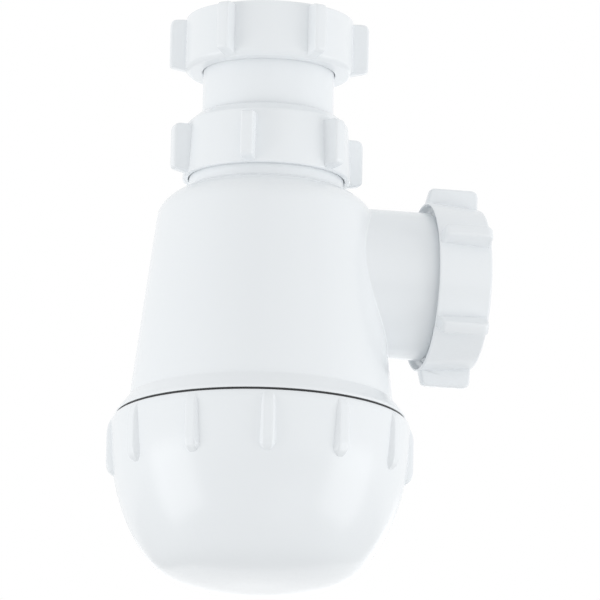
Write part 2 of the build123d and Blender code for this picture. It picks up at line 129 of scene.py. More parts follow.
def flowing(points: Corners, start: tuple[float, float], end: tuple[float, float], count: int) -> np.ndarray:
    """Draw a smooth cubic through points, with its end directions given.

    The slopes m at the points solve the usual equations of a cubic spline over chord length, and each span is
    then the Hermite curve of its two points and slopes.

    Args:
        points: points as (radius, along) in mm.
        start: direction at the first point.
        end: direction at the last point.
        count: points on the result.

    Returns:
        The curve as count points.
    """
    knot = np.asarray(points, float)
    step = np.linalg.norm(np.diff(knot, axis=0), axis=1)
    size = len(knot)
    matrix, right = np.eye(size), np.zeros((size, 2))
    right[0] = np.asarray(start) / np.linalg.norm(start)
    right[-1] = np.asarray(end) / np.linalg.norm(end)
    inner = np.arange(1, size - 1)
    left_step, right_step = step[:-1, None], step[1:, None]
    matrix[inner, inner - 1] = step[1:]
    matrix[inner, inner] = 2 * (step[:-1] + step[1:])
    matrix[inner, inner + 1] = step[:-1]
    rise = np.diff(knot, axis=0)
    right[1:-1] = 3 * (right_step * rise[:-1] / left_step + left_step * rise[1:] / right_step)
    slope = np.linalg.solve(matrix, right)
    ends = np.concatenate([[0.0], np.cumsum(step)])
    where = np.linspace(0, ends[-1], count)
    span = np.clip(np.searchsorted(ends, where, side="right") - 1, 0, size - 2)
    width = step[span][:, None]
    t = (where[:, None] - ends[span][:, None]) / width
    return ((2 * t**3 - 3 * t**2 + 1) * knot[span] + (t**3 - 2 * t**2 + t) * width * slope[span]
            + (3 * t**2 - 2 * t**3) * knot[span + 1] + (t**3 - t**2) * width * slope[span + 1])


def turned(line: Line, profile: np.ndarray, angles: np.ndarray) -> np.ndarray:
    """Turn a profile about an axis: the point at (angle, profile) is the profile's radius and height there.

    Args:
        line: the axis.
        profile: (radius, along) rows in mm.
        angles: angles in radians.

    Returns:
        A grid of points, angles by profile points.
    """
    return place(line, profile[None, :, 0], angles[:, None], profile[None, :, 1])


def full_turn(count: int) -> np.ndarray:
    """Angles right round, the last on the first."""
    return np.linspace(0, TURN, count + 1)


class Shell:
    """Grids of points that share their edges and are joined into one closed mesh."""

    def __init__(self, name: str) -> None:
        """Start an empty shell under a piece's name."""
        self.name = name
        self.points: list[np.ndarray] = []
        self.faces: list[np.ndarray] = []
        self.total = 0

    def add(self, grid: np.ndarray) -> None:
        """Add a grid of points as quads between neighbouring rows and columns.

        Args:
            grid: rows by columns by three, in mm.
        """
        rows, columns = grid.shape[:2]
        index = np.arange(rows * columns).reshape(rows, columns) + self.total
        quads = np.stack([index[:-1, :-1], index[1:, :-1], index[1:, 1:], index[:-1, 1:]], axis=-1)
        self.points.append(grid.reshape(-1, 3))
        self.faces.append(quads.reshape(-1, 4))
        self.total += rows * columns

    def build(self) -> bpy.types.Object:
        """Merge the grids' common points, turn the faces outwards and shade the curves smooth.

        Returns:
            The object, with its place in its mesh.
        """
        mesh = bpy.data.meshes.new(self.name)
        mesh.from_pydata(np.concatenate(self.points) * MM, [], np.concatenate(self.faces).tolist())
        shape = bmesh.new()
        shape.from_mesh(mesh)
        bmesh.ops.remove_doubles(shape, verts=shape.verts[:], dist=MERGE_REACH)
        bmesh.ops.dissolve_degenerate(shape, edges=shape.edges[:], dist=SLIVER_REACH)
        bmesh.ops.recalc_face_normals(shape, faces=shape.faces[:])
        shape.to_mesh(mesh)
        shape.free()
        return as_object(self.name, mesh)


def as_object(name: str, mesh: bpy.types.Mesh) -> bpy.types.Object:
    """Give a mesh an object at the origin, smooth where its faces meet at a shallow angle.

    Args:
        name: the piece's name.
        mesh: its mesh, in metres.

    Returns:
        The object, linked to the scene.
    """
    mesh.polygons.foreach_set("use_smooth", np.ones(len(mesh.polygons), bool))
    mesh.set_sharp_from_angle(angle=SMOOTH_LIMIT)
    piece = bpy.data.objects.new(name, mesh)
    bpy.context.scene.collection.objects.link(piece)
    return piece


@dataclass(frozen=True)
class Plastic:
    """Moulded white plastic: a cool white with faint flow clouds, a fine grain and uneven gloss."""

    name: str
    colour: tuple[float, float, float]
    cloud: tuple[float, float, float]
    gloss: tuple[float, float]
    grain: float
    cloud_scale: float = 22.0
    gloss_scale: float = 140.0
    grain_scale: float = 900.0
    refraction: float = 1.49

    def material(self) -> bpy.types.Material:
        """Mix the two whites by broad noise, the gloss by finer noise, and add a fine bump.

        Returns:
            The material.
        """
        material = bpy.data.materials.new(self.name)
        material.use_nodes = True
        nodes, links = material.node_tree.nodes, material.node_tree.links
        shader = nodes["Principled BSDF"]
        place_on = nodes.new("ShaderNodeTexCoord").outputs["Object"]
        clouds = noise(nodes, links, place_on, self.cloud_scale, 3.0)
        tint = nodes.new("ShaderNodeMix")
        tint.data_type = "RGBA"
        tint.inputs["A"].default_value = (*self.colour, 1)
        tint.inputs["B"].default_value = (*self.cloud, 1)
        links.new(clouds, tint.inputs["Factor"])
        links.new(tint.outputs["Result"], shader.inputs["Base Color"])
        sheen = nodes.new("ShaderNodeMapRange")
        sheen.inputs["To Min"].default_value, sheen.inputs["To Max"].default_value = self.gloss
        links.new(noise(nodes, links, place_on, self.gloss_scale, 2.0), sheen.inputs["Value"])
        links.new(sheen.outputs["Result"], shader.inputs["Roughness"])
        bump = nodes.new("ShaderNodeBump")
        bump.inputs["Strength"].default_value = self.grain
        bump.inputs["Distance"].default_value = BUMP_DEPTH
        links.new(noise(nodes, links, place_on, self.grain_scale, 2.0), bump.inputs["Height"])
        links.new(bump.outputs["Normal"], shader.inputs["Normal"])
        shader.inputs["IOR"].default_value = self.refraction
        return material


@dataclass(frozen=True)
class Rubber:
    """Black rubber: nearly matt, with a dusty bloom in patches and a fine tooth."""

    name: str
    colour: tuple[float, float, float]
    bloom: tuple[float, float, float]
    tooth: float
    bloom_scale: float = 90.0
    tooth_scale: float = 1400.0
    roughness: float = 0.62

    def material(self) -> bpy.types.Material:
        """Mix black with a grey bloom by noise and add a fine bump.

        Returns:
            The material.
        """
        material = bpy.data.materials.new(self.name)
        material.use_nodes = True
        nodes, links = material.node_tree.nodes, material.node_tree.links
        shader = nodes["Principled BSDF"]
        place_on = nodes.new("ShaderNodeTexCoord").outputs["Object"]
        tint = nodes.new("ShaderNodeMix")
        tint.data_type = "RGBA"
        tint.inputs["A"].default_value = (*self.colour, 1)
        tint.inputs["B"].default_value = (*self.bloom, 1)
        links.new(noise(nodes, links, place_on, self.bloom_scale, 4.0), tint.inputs["Factor"])
        links.new(tint.outputs["Result"], shader.inputs["Base Color"])
        bump = nodes.new("ShaderNodeBump")
        bump.inputs["Strength"].default_value = self.tooth
        bump.inputs["Distance"].default_value = BUMP_DEPTH
        links.new(noise(nodes, links, place_on, self.tooth_scale, 2.0), bump.inputs["Height"])
        links.new(bump.outputs["Normal"], shader.inputs["Normal"])
        shader.inputs["Roughness"].default_value = self.roughness
        return material


def noise(nodes: bpy.types.Nodes, links: bpy.types.NodeLinks, where: bpy.types.NodeSocket, scale: float,
          detail: float) -> bpy.types.NodeSocket:
    """Add a noise texture on given coordinates.

    Args:
        nodes: the material's nodes.
        links: the material's links.
        where: the coordinates' socket.
        scale: waves a metre.
        detail: octaves.

    Returns:
        The noise's value socket.
    """
    texture = nodes.new("ShaderNodeTexNoise")
    texture.inputs["Scale"].default_value = scale
    texture.inputs["Detail"].default_value = detail
    links.new(where, texture.inputs["Vector"])
    return texture.outputs["Fac"]


@dataclass(frozen=True)
class Finishes:
    """The three materials that the pieces share."""

    white: bpy.types.Material
    natural: bpy.types.Material
    rubber: bpy.types.Material


def dress(piece: bpy.types.Object, material: bpy.types.Material, slot: str, body: str, *nodes: str) -> None:
    """Give a piece its material and body, and hide the plain nodes that it stands for.

    Args:
        piece: the finished piece.
        material: its material.
        slot: the record's material slot; not used.
        body: the body that it moves with.
        nodes: plain nodes that it replaces.
    """
    piece.data.materials.clear()
    piece.data.materials.append(material)
    if nodes:
        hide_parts(*nodes)
    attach(piece, body)
    log.info("%s: %d faces on %s", piece.name, len(piece.data.polygons), body)


def quarter_round(width: float, edge: float, steps: int = 6, sunk: float = 0.1) -> np.ndarray:
    """Section of a pad's edge with a quarter-round: at angle a, e (1 - cos a) in and e (1 - sin a) down.

    Args:
        width: the pad's thickness in mm.
        edge: the radius e in mm.
        steps: points on the round.
        sunk: how far past the round the root lies, in mm.

    Returns:
        Rows of half width and depth in mm, from the pad's root to its face.
    """
    a = np.linspace(0, math.pi / 2, steps)
    root = [[width / 2, edge + sunk]]
    arc = np.stack([width / 2 - edge * (1 - np.cos(a)), edge * (1 - np.sin(a))], axis=-1)
    return np.vstack([root, arc])


def pads(name: str, line: Line, outline: Corners, side: np.ndarray, angles: np.ndarray, bend: float,
         foot: float = 0.0) -> bpy.types.Object:
    """Stand flat pads round an axis, each an outline P(s) in the plane of radius and axis, with shaped edges.

    An edge's row of half width w and depth d lies w to either side of the plane, at P - d n. For a slab, n is
    the outline's outward normal. A pad with a foot is drafted instead, so n points straight out from the axis,
    and it narrows over the foot's length f: at share u of it by sqrt(1 - (1 - u)^2). The depth fades out
    towards the pad's root, which is sunk in a wall. Each side closes on the middle of its root.

    Args:
        name: the piece's name.
        line: the axis.
        outline: corners as (radius, along) in mm.
        side: the edge's rows of half width and depth in mm, from the root to the face.
        angles: one angle for each pad.
        bend: rounding of the outline's corners in mm.
        foot: length f of a round foot at the pad's low end in mm, or 0 for a slab.

    Returns:
        The pads' object.
    """
    flat = rounded(outline, bend, closed=True)
    middle = flat[:-1].mean(axis=0)
    ahead = np.roll(flat[:-1], -1, axis=0) - np.roll(flat[:-1], 1, axis=0)
    normal = np.stack([ahead[:, 1], -ahead[:, 0]], axis=-1) / np.linalg.norm(ahead, axis=1)[:, None]
    normal *= np.sign(np.sum(normal * (flat[:-1] - middle)))
    inward = np.array([1.0, 0.0]) if foot else np.vstack([normal, normal[:1]])
    fade = side[:, 1].max() * (1 if foot else 2)
    standing = np.clip((flat[:, 0] - flat[:, 0].min()) / fade, 0, 1)[:, None]
    half = flat[None] - side[:, 1, None, None] * (standing * inward)[None]
    cap = np.broadcast_to(half[0, :-1].mean(axis=0), (1, *flat.shape))
    rows = np.concatenate([cap, half, half[::-1], cap])
    edge = np.concatenate([side[:1, 0], side[:, 0]])
    across = np.concatenate([-edge, edge[::-1]])[:, None]
    if foot:
        share = np.clip((flat[:, 1] - flat[:, 1].min()) / foot, FOOT_TIP_SHARE, 1)
        across = across * np.sqrt(1 - (1 - share) ** 2)
    reach, turn = np.hypot(rows[..., 0], across), np.arctan2(across, rows[..., 0])
    shell = Shell(name)
    for angle in angles:
        shell.add(place(line, reach, angle + turn, rows[..., 1]))
    return shell.build()


@dataclass
class Thread:
    """A screw thread: a ridge of rounded trapezium section carried along a right-handed helix."""

    root: float
    crest: float
    pitch: float
    start: float
    end: float
    line: Line
    side: Side
    lead: float = 0.0
    foot_share: float = 0.39
    crest_share: float = 0.12
    flank_rise: float = 0.45
    sunk: float = 0.25
    runout: float = 0.125
    steps_a_turn: int = 96
    least_width: float = 0.02

    def build(self, name: str) -> bpy.types.Object:
        """Carry the section along the helix h = start + pitch * turn, with both ends run out into the wall.

        The section is a trapezium whose half widths at the root and the crest are shares of the pitch. At share
        u of the runout at either end, its height is 3u^2 - 2u^3 of the whole, and the ends close on a point.

        Args:
            name: the piece's name.

        Returns:
            The thread's object.
        """
        hand = 1.0 if self.line is Line.INLET else -1.0
        turns = (self.end - self.start) / self.pitch
        t = np.linspace(0, turns, int(turns * self.steps_a_turn) + 1)
        u = np.clip(np.minimum(t, turns - t) / self.runout, 0, 1)
        height = (u * u * (3 - 2 * u))[:, None]
        sunk = self.sunk * self.side.value
        foot, top = self.foot_share * self.pitch, self.crest_share * self.pitch
        rise = self.crest - self.root
        bulge = self.flank_rise * rise
        flank = (1 - self.flank_rise) * foot + self.flank_rise * top
        across = np.array([-foot, -foot, -flank, -top, top, flank, foot, foot, -foot])
        out = np.array([-sunk, 0.0, bulge, rise, rise, bulge, 0.0, -sunk, -sunk])
        closing = np.minimum(1.0, self.least_width + height)
        closing[[0, -1]] = 0.0
        radius = self.root + np.where(out == -sunk, -sunk, out * height)
        radius[[0, -1]] = self.root - sunk
        along = self.start + self.pitch * t[:, None] + across[None] * closing
        shell = Shell(name)
        shell.add(place(self.line, radius, hand * (t[:, None] * TURN) + self.lead, along))
        return shell.build()


@dataclass
class Nut:
    """A nut with six lugs: a turned wall, its lugs and the thread in its bore."""

    name: str
    body: str
    line: Line
    wall: Corners
    lug: Corners
    lug_phase: float
    thread: Thread
    wall_edge: float = 0.6
    lug_count: int = 6
    lug_width: float = 4.0
    lug_edge: float = 0.8
    lug_bend: float = 1.3

    def build(self, finishes: Finishes) -> None:
        """Make and dress the nut's wall, lugs and thread.

        Args:
            finishes: the shared materials.
        """
        wall = Shell(self.name + "_wall")
        wall.add(turned(self.line, rounded(self.wall, self.wall_edge, closed=True), full_turn(TURNED_SIDES)))
        dress(wall.build(), finishes.white, "white_plastic", self.body, self.name)
        angles = math.radians(self.lug_phase) + full_turn(self.lug_count)[:-1]
        side = quarter_round(self.lug_width, self.lug_edge)
        lugs = pads(self.name + "_lugs", self.line, self.lug, side, angles, self.lug_bend)
        dress(lugs, finishes.white, "white_plastic", self.body)
        dress(self.thread.build(self.name + "_thread"), finishes.white, "white_plastic", self.body)


@dataclass
class Washer:
    """A turned ring: rubber washers, cones and plastic slip rings."""

    name: str
    body: str
    line: Line
    section: Corners
    slot: str
    edge: float = 0.25

    def build(self, material: bpy.types.Material) -> None:
        """Turn the ring's section and dress it.

        Args:
            material: the ring's material.
        """
        ring = Shell(self.name + "_ring")
        ring.add(turned(self.line, rounded(self.section, self.edge, closed=True), full_turn(RING_SIDES)))
        dress(ring.build(), material, self.slot, self.body, self.name)


@dataclass
class InletTube:
    """The telescopic tube with its flange."""

    radius: float = 20.6
    bore: float = 18.8
    bottom: float = 78.15
    flange: float = 168.0
    flange_radius: float = 22.2
    flange_height: float = 2.6
    lead_in: float = 0.6
    lead_height: float = 1.2
    edge: float = 0.3

    def build(self, finishes: Finishes) -> None:
        """Turn the tube's section and dress it.

        Args:
            finishes: the shared materials.
        """
        top = self.flange + self.flange_height
        section = [
            (self.bore, self.bottom), (self.radius - self.lead_in, self.bottom),
            (self.radius, self.bottom + self.lead_height), (self.radius, self.flange),
            (self.flange_radius, self.flange), (self.flange_radius, top), (self.bore, top),
        ]
        tube = Shell("inlet_tube_wall")
        tube.add(turned(Line.INLET, rounded(section, self.edge, closed=True), full_turn(TURNED_SIDES)))
        dress(tube.build(), finishes.white, "white_plastic", "tube", "inlet_tube")


@dataclass
class Branch:
    """A band of a turned wall with a round side branch let into it.

    The band is cut in two: a patch on the branch's side, and the rest. On the patch, rings of points run from
    the branch's own curve to the patch's square edge, straight in angle and arc length, so they lie on the
    wall.
    """

    profile: np.ndarray
    radius: float
    half_angle: float
    across: int = 56
    up: int = 64
    rings: int = 14
    crowding: float = 1.6

    def arc(self) -> np.ndarray:
        """Arc length at each point of the band's profile."""
        return np.concatenate([[0.0], np.cumsum(np.linalg.norm(np.diff(self.profile, axis=0), axis=1))])

    def edge(self) -> tuple[np.ndarray, np.ndarray]:
        """Walk the patch's edge once round, and give the branch's angle that each of its points faces.

        Returns:
            The edge as (angle, arc) rows and the branch's angles in radians, both closed.
        """
        arc = self.arc()
        top, half = arc[-1], self.half_angle
        wide, tall = np.linspace(-half, half, self.across + 1), np.linspace(0, top, self.up + 1)
        edge = np.concatenate([
            np.stack([np.full(self.up, half), tall[:-1]], axis=-1),
            np.stack([wide[:0:-1], np.full(self.across, top)], axis=-1),
            np.stack([np.full(self.up, -half), tall[:0:-1]], axis=-1),
            np.stack([wide[:-1], np.zeros(self.across)], axis=-1),
        ])
        edge = np.vstack([edge, edge[:1]])
        middle = np.interp(OUTLET_Z, self.profile[:, 1], arc)
        reach = np.where(edge[:, 1] > middle, top - middle, middle)
        facing = np.unwrap(np.arctan2((edge[:, 1] - middle) / reach, edge[:, 0] / half))
        return edge, facing

    def meeting(self, radius: float, facing: np.ndarray) -> tuple[np.ndarray, np.ndarray]:
        """Find where a cylinder about the outlet meets the wall.

        At angle a round the outlet, the point is at y = r cos a and z = axis + r sin a, and the wall's radius
        at that height gives its x.

        Args:
            radius: the cylinder's radius in mm.
            facing: angles round the outlet, from +Y to +Z.

        Returns:
            The meeting's x in mm, and its (angle, arc) rows on the wall.
        """
        y, z = radius * np.cos(facing), OUTLET_Z + radius * np.sin(facing)
        wall = np.interp(z, self.profile[:, 1], self.profile[:, 0])
        x = np.sqrt(wall**2 - y**2)
        return x, np.stack([np.arctan2(y, x), np.interp(z, self.profile[:, 1], self.arc())], axis=-1)

    def on_wall(self, where: np.ndarray) -> np.ndarray:
        """Put (angle, arc) rows on the band's surface."""
        arc = self.arc()
        radius = np.interp(where[..., 1], arc, self.profile[:, 0])
        return place(Line.INLET, radius, where[..., 0], np.interp(where[..., 1], arc, self.profile[:, 1]))

    def patch(self) -> np.ndarray:
        """The rings from the branch's curve to the patch's edge, closer together near the branch."""
        edge, facing = self.edge()
        _, inner = self.meeting(self.radius, facing)
        t = (np.linspace(0, 1, self.rings) ** self.crowding)[:, None, None]
        return self.on_wall((1 - t) * inner[None] + t * edge[None])

    def rest(self, angles: np.ndarray) -> np.ndarray:
        """The band away from the patch, on given angles."""
        tall = np.linspace(0, self.arc()[-1], self.up + 1)
        return self.on_wall(np.stack(np.broadcast_arrays(angles[:, None], tall[None]), axis=-1))


@dataclass
class BottleBody:
    """The body's moulding: neck, shoulder, bottle wall, flange, skirt, dip tube and side spigot."""

    half_angle: float = math.radians(64)
    around: int = 136
    fillet: float = 0.5
    spigot_radius: float = 23.3
    bore_radius: float = 18.6
    outer_low: float = 66.95
    outer_high: float = 125.65
    inner_low: float = 68.95
    inner_high: float = 120.55
    skirt_inside: float = 42.55
    thread_root: float = 22.5
    thread_crest: float = 23.8

    def outer(self) -> np.ndarray:
        """The outside from the flange's edge up to the neck's root."""
        flare = flowing([(45.4, 54.65), (44.6, 55.85), (42.9, 57.95), (41.75, 59.3)],
                        (-0.3, 1), (-0.85, 1), 24)
        waist = rounded([(41.75, 59.3), (41.2, 59.95), (41.1, 60.8)], 1.0)
        side = np.linspace((41.1, 60.8), (34.2, 116.45), 40)
        shoulder = flowing([(34.2, 116.45), (33.26, 120.45), (31.2, 123.05), (28.3, 125.25), (24.3, 126.95)],
                           (-0.124, 1), (-1, 0.3), 48)
        # The shoulder's last points make way for the fillet at the neck's root.
        return np.vstack([flare, waist[1:], side[1:], shoulder[1:-6]])

    def inner(self) -> np.ndarray:
        """The inside from the skirt's bottom up to the dip tube's root."""
        return rounded([(40.2, 41.45), (40.2, 57.05), (38.8, 61.15), (31.8, 116.45), (30.0, 119.85),
                        (25.6, 123.05), (22.9, 123.65)], 2.5)

    @staticmethod
    def split(line: np.ndarray, low: float, high: float) -> tuple[np.ndarray, np.ndarray, np.ndarray]:
        """Cut a rising profile into the parts below, between and above two heights.

        Args:
            line: (radius, height) rows, rising.
            low: the lower height.
            high: the upper height.

        Returns:
            The three parts, with the cut points in both neighbours.
        """
        cuts = np.array([[np.interp(z, line[:, 1], line[:, 0]), z] for z in (low, high)])
        below = np.vstack([line[line[:, 1] < low], cuts[:1]])
        between = np.vstack([cuts[:1], line[(line[:, 1] > low) & (line[:, 1] < high)], cuts[1:]])
        above = np.vstack([cuts[1:], line[line[:, 1] > high]])
        return below, between, above

    def spigot(self, outside: Branch, inside: Branch) -> np.ndarray:
        """The spigot from its fillet on the wall, out to its end, and back in through the socket and bore.

        Args:
            outside: the branch on the outer wall.
            inside: the branch on the inner wall.

        Returns:
            Rows of points along the spigot, by points round it.
        """
        _, facing = outside.edge()
        corner_x, _ = outside.meeting(self.spigot_radius, facing)
        wide_x, _ = outside.meeting(outside.radius, facing)
        start = np.stack([np.full_like(wide_x, outside.radius), wide_x], axis=-1)
        corner = np.stack([np.full_like(corner_x, self.spigot_radius), corner_x], axis=-1)
        end = corner + [0.0, self.fillet]
        t = np.linspace(0, 1, 8)[:, None, None]
        fillet = (1 - t) ** 2 * start + 2 * t * (1 - t) * corner + t**2 * end
        section = rounded([(self.spigot_radius, 45.0), (self.spigot_radius, 51.4), (self.thread_root, 51.4),
                           (self.thread_root, 61.5), (21.8, 61.5), (20.3, 57.5), (20.3, 41.2),
                           (self.bore_radius, 41.2), (self.bore_radius, 39.5)], 0.3)
        straight = np.repeat(section[:, None], len(facing), axis=1)
        _, inner_facing = inside.edge()
        inner_x, _ = inside.meeting(self.bore_radius, inner_facing)
        mouth = np.stack([np.full_like(inner_x, self.bore_radius), inner_x], axis=-1)[None]
        rows = np.concatenate([fillet, straight, mouth])
        turn = np.broadcast_to(facing, rows.shape[:2]).copy()
        turn[-1] = inner_facing
        return place(Line.OUTLET, rows[..., 0], math.pi - turn, rows[..., 1])

    def build(self, finishes: Finishes) -> None:
        """Join the turned parts, the two branched bands and the spigot into one moulding, and dress it.

        Args:
            finishes: the shared materials.
        """
        out_low, out_band, out_high = self.split(self.outer(), self.outer_low, self.outer_high)
        in_low, in_band, in_high = self.split(self.inner(), self.inner_low, self.inner_high)
        outside = Branch(out_band, self.spigot_radius + self.fillet, self.half_angle)
        inside = Branch(in_band, self.bore_radius, self.half_angle)
        patch = np.linspace(-self.half_angle, self.half_angle, outside.across + 1)
        rest = np.linspace(self.half_angle, TURN - self.half_angle, self.around + 1)
        angles = np.concatenate([patch, rest[1:]])
        skirt = rounded([(45.4, 54.65), (45.4, 54.15), (42.9, 54.15), (42.9, 41.45), (40.2, 41.45),
                         (40.2, self.skirt_inside)], 0.35)
        neck = rounded([(22.9, 123.65), (22.9, 72.1), (20.8, 68.1), (20.8, 28.0), (18.8, 28.0), (18.8, 78.1),
                        (20.9, 78.1), (20.9, 139.45), (21.8, 143.95), (self.thread_root, 143.95),
                        (self.thread_root, 131.35), (24.3, 131.35), (24.3, 129.45)], 0.3)
        root = rounded([(24.3, 129.45), (24.3, 126.95), tuple(out_high[-1])], 0.9)
        low = np.vstack([out_low[::-1], skirt[1:], in_low[in_low[:, 1] > self.skirt_inside]])
        high = np.vstack([in_high, neck[1:], root[1:], out_high[::-1][1:]])
        body = Shell("trap_body_moulding")
        body.add(turned(Line.INLET, low, angles))
        body.add(turned(Line.INLET, high, angles))
        for branch in (outside, inside):
            body.add(branch.patch())
            body.add(branch.rest(rest))
        body.add(self.spigot(outside, inside))
        dress(body.build(), finishes.white, "white_plastic", "body", "trap_body")
        foot, crest = self.thread_root, self.thread_crest
        threads = {
            "neck_thread": Thread(foot, crest, NUT_PITCH, 133.15, 142.85, Line.INLET, Side.OUTSIDE),
            "spigot_thread": Thread(foot, crest, NUT_PITCH, 53.0, 60.4, Line.OUTLET, Side.OUTSIDE),
            "skirt_thread": Thread(42.9, 43.75, CUP_PITCH, 43.55, 51.55, Line.INLET, Side.OUTSIDE),
        }
        for name, thread in threads.items():
            dress(thread.build(name), finishes.white, "white_plastic", "body")


@dataclass
class Cup:
    """The screw-off cup: a bowl with a domed base, a threaded rim and grip ribs."""

    rib_count: int = 12
    rib_phase: float = 21.0
    rib_face: float = 3.2
    rib_root: float = 5.4
    rib_depth: float = 2.6
    rib_edge: float = 0.6
    rib_bend: float = 1.2
    rib_foot: float = 2.8

    def build(self, finishes: Finishes) -> None:
        """Turn the bowl, stand the ribs round it, cut its thread and dress them.

        Args:
            finishes: the shared materials.
        """
        outside = flowing([(6.0, 0.0), (24.0, 2.3), (31.1, 5.75), (35.6, 10.75), (40.0, 17.85), (43.2, 25.75),
                           (45.1, 32.67), (46.12, 39.45), (46.5, 45.4), (46.76, 50.6)], (1, 0), (0.05, 1), 96)
        rim = rounded([(46.76, 50.6), (46.8, 51.3), (46.44, 52.71), (45.6, 53.5), (44.2, 53.5), (44.2, 39.45),
                       (43.2, 38.45)], 0.7)
        inside = flowing([(43.2, 38.45), (40.9, 27.25), (37.6, 19.35), (33.5, 12.35), (29.5, 7.8),
                          (23.3, 4.75), (7.5, 2.5)], (-0.12, -1), (-1, -0.02), 56)
        under, floor = [(0.0, 0.0), (3.0, 0.0)], [(4.0, 2.5), (0.0, 2.5)]
        profile = np.vstack([under, outside, rim[1:], inside[1:], floor])
        bowl = Shell("cup_bowl")
        bowl.add(turned(Line.INLET, profile, full_turn(TURNED_SIDES)))
        dress(bowl.build(), finishes.white, "white_plastic", "cup", "cup")
        rib = [(44.5, 48.35), (45.8, 53.15), (46.9, 52.05), (47.6, 50.55), (48.0, 48.35), (48.0, 37.95),
               (47.4, 35.79), (46.2, 34.65), (44.5, 33.75)]
        flank = [(self.rib_root / 2, self.rib_depth), (self.rib_face / 2, 0.0), (self.rib_face / 6, 0.0)]
        side = rounded(flank, self.rib_edge)
        angles = math.radians(self.rib_phase) + full_turn(self.rib_count)[:-1]
        ribs = pads("cup_ribs", Line.INLET, rib, side, angles, self.rib_bend, self.rib_foot)
        dress(ribs, finishes.white, "white_plastic", "cup")
        thread = Thread(44.2, 43.25, CUP_PITCH, 43.55, 51.55, Line.INLET, Side.INSIDE, math.pi)
        dress(thread.build("cup_thread"), finishes.white, "white_plastic", "cup")


@dataclass(frozen=True)
class Softbox:
    """A square soft box that faces the trap's middle, with its place and side in metres."""

    name: str
    where: tuple[float, float, float]
    size: float
    watts: float
    target: tuple[float, float, float] = (0.0, 0.0, 0.09)

    def hang(self) -> None:
        """Add the light at its place and turn it to its target."""
        data = bpy.data.lights.new(self.name, "AREA")
        data.shape, data.size, data.energy = "SQUARE", self.size, self.watts
        light = bpy.data.objects.new(self.name, data)
        light.location = self.where
        ahead = Vector(self.target) - Vector(self.where)
        light.rotation_euler = ahead.to_track_quat("-Z", "Y").to_euler()
        bpy.context.scene.collection.objects.link(light)


